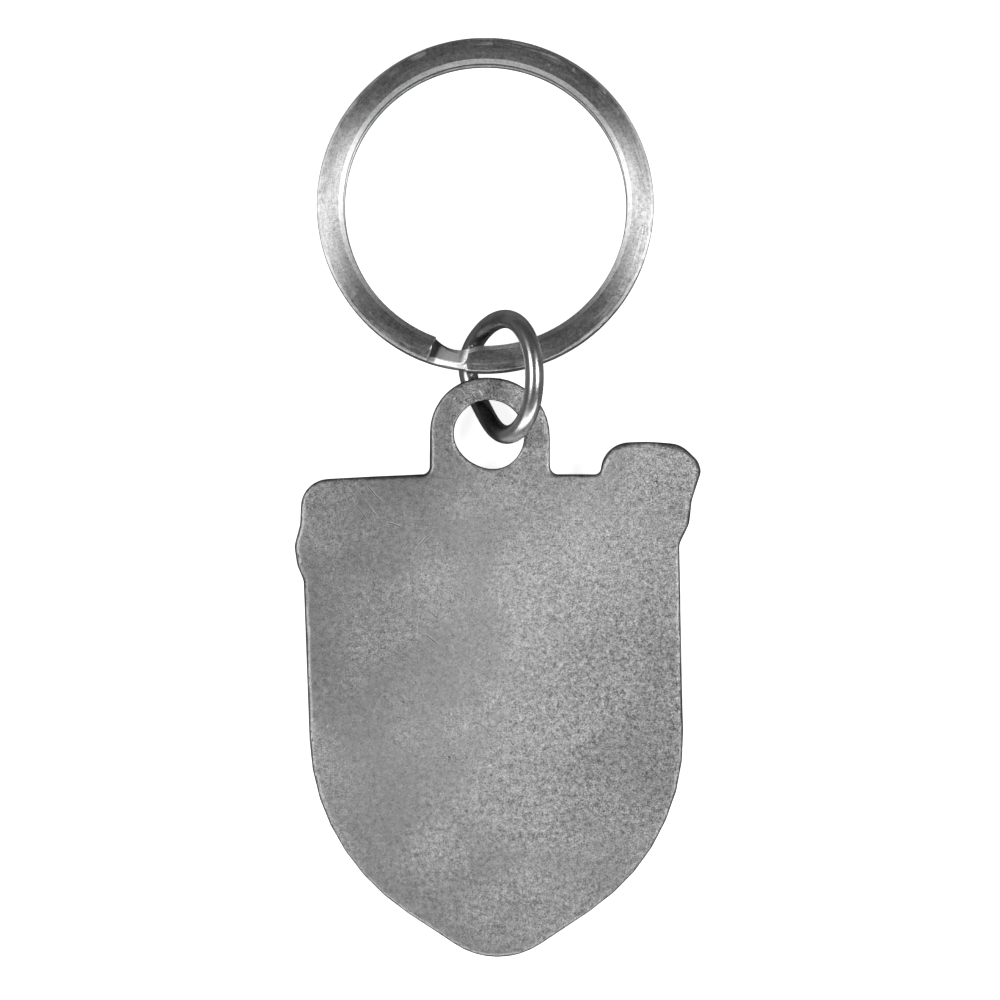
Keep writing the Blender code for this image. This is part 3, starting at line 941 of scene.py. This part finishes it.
# %% [markdown]
# Each place along the wire needs its own width, level and pressing. All of them follow from the angle, with
# smooth steps at both ends of the crossover. The stations where the section is set down stand closer
# together there. The upper cut end was pinched off, not sawn, so noise tears its last little stretch.

# %% Split ring: stations and loft
SPLIT_STEP = math.radians(1.5)
CROSSOVER_STEP = math.radians(0.4)
PRESS_FADE = math.radians(1.0)
PLAIN_MIDDLE = math.radians(-82)
PLAIN_REACH = math.radians(26)
BURR = 0.16 * MM
BURR_REACH = math.radians(1.6)
BURR_SIZE = 0.35 * MM


def between(value, first, last):
    """How far value has gone from first to last, held at 0 before and at 1 past them."""
    return min(1.0, max(0.0, (value - first) / (last - first)))


def eased(value):
    """0 below nought and 1 above one, with a smooth step between."""
    share = between(value, 0.0, 1.0)
    return share * share * (3 - 2 * share)


def split_place(angle):
    """The wire's section at this angle along it, as points about the ring's middle."""
    down = between(angle, CROSSOVER_START, CROSSOVER_END)
    down = 0.7 * down + 0.3 * eased(down)
    waist = between(angle, CROSSOVER_START + 4 * PRESS_FADE, CROSSOVER_END - PRESS_FADE)
    width = SPLIT_BAND - CROSSOVER_NARROWING * math.sin(math.pi * waist)
    not_past = eased((angle - CROSSOVER_END) / PRESS_FADE + 3)
    pressed = not_past * eased((CROSSOVER_START - angle) / PRESS_FADE)
    leant = not_past * eased((CROSSOVER_START - angle) / (4 * PRESS_FADE))
    plain = eased(2.5 * (1 - abs(angle - PLAIN_MIDDLE) / PLAIN_REACH))
    inner_bevel = INNER_BEVEL + (CRISP_BEVEL - INNER_BEVEL) * down
    outer_bevel = OUTER_BEVEL + (CRISP_BEVEL - OUTER_BEVEL) * max(down, plain)
    middle = SPLIT_OUTER - width / 2 - LOWER_TURN_SHRINK * down
    level = (SPLIT_THICK + SPLIT_TURN_GAP) * (0.5 - down)
    outward = Vector((math.cos(angle), math.sin(angle), 0))
    shift = Vector((*LOWER_TURN_SHIFT, 0)) * down + Vector((0, 0, level))
    section = wire_section(width, pressed, leant, inner_bevel, outer_bevel)
    torn = BURR * eased(1 - (SPLIT_UPPER_TIP - angle) / BURR_REACH)
    points = []
    for u, v in section:
        point = outward * (middle + u) + Vector((0, 0, v)) + shift
        held = max(0.0, 1 - (2 * u / width) ** 2)
        points.append(point + noise.noise_vector(point / BURR_SIZE) * torn * held)
    return points


def stations():
    """Angles along the wire from its upper cut end to its lower one, closest together in the crossover."""
    lower_tip = CROSSOVER_START - 2 * math.pi
    burr_end = SPLIT_UPPER_TIP - BURR_REACH
    stops = [(SPLIT_UPPER_TIP, burr_end, CROSSOVER_STEP), (burr_end, CROSSOVER_START, SPLIT_STEP)]
    press_end = CROSSOVER_END - 3 * PRESS_FADE
    stops.append((CROSSOVER_START, press_end, CROSSOVER_STEP))
    stops.append((press_end, lower_tip, SPLIT_STEP))
    angles = []
    for first, last, step in stops:
        count = math.ceil((first - last) / step)
        angles += [first + (last - first) * k / count for k in range(count)]
    return angles + [lower_tip]


split_ring = loft("split_ring_wire", [split_place(angle) for angle in stations()])
half_height = SPLIT_THICK + SPLIT_TURN_GAP / 2
rise = SPLIT_OUTER * math.sin(-SPLIT_TILT) + half_height * math.cos(SPLIT_TILT)
split_ring.location = (*SPLIT_CENTRE, rise)
split_ring.rotation_euler.x = SPLIT_TILT
finish_metal(split_ring, steel, 40)
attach(split_ring, "split_ring")
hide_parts("split_ring")
print("split ring faces:", len(split_ring.data.polygons))

# %% [markdown]
# The table is a plain white sheet. The lamps alone would leave it grey beside the dark metal, so it glows a
# little too, like a light table, which also keeps the shadows pale. In the metal it should look dark, as a
# black card under clear glass would, or the rings would lose their dark flanks. The Light Path node tells
# the two apart.

# %% Table
TABLE_SIZE = 3.0

table_mesh = bpy.data.meshes.new("table")
sheet = bmesh.new()
bmesh.ops.create_grid(sheet, x_segments=8, y_segments=8, size=TABLE_SIZE)
sheet.to_mesh(table_mesh)
sheet.free()
table = bpy.data.objects.new("table", table_mesh)
scene.collection.objects.link(table)

paper, tree, shader = new_material("white_sheet")
tree.nodes.remove(shader)
tooth = cloud(tree, millimetres(tree), 0.6, 2.0)
bump = add(tree, "Bump", Strength=0.05, Distance=MM, Height=tooth)
white = add(tree, "BsdfDiffuse", grey(0.8), Normal=bump.outputs[0])
glow = add(tree, "Emission", grey(1.0), 0.88)
lit = add(tree, "AddShader", white.outputs[0], glow.outputs[0])
seen_in_metal = add(tree, "LightPath").outputs["Is Glossy Ray"]
dark = add(tree, "BsdfDiffuse", grey(0.18))
choice = add(tree, "MixShader", seen_in_metal, lit.outputs[0], dark.outputs[0])
tree.links.new(choice.outputs[0], tree.nodes["Material Output"].inputs["Surface"])
table_mesh.materials.append(paper)
print("table width in m:", 2 * TABLE_SIZE)

# %% [markdown]
# The room is almost dark, so that the metal keeps its contrast. Only the camera sees it pale, which matters
# where a low view looks past the table.

# %% Dim room
room = bpy.data.worlds.new("dim_room")
scene.world = room
room.use_nodes = True
tree = room.node_tree
dim = tree.nodes["Background"]
dim.inputs["Color"].default_value = grey(1.0)
dim.inputs["Strength"].default_value = 0.07
pale = add(tree, "Background", grey(1.0), 0.95)
seen = add(tree, "LightPath").outputs["Is Camera Ray"]
choice = add(tree, "MixShader", seen, dim.outputs[0], pale.outputs[0])
tree.links.new(choice.outputs[0], tree.nodes["World Output"].inputs["Surface"])
print("room ready")
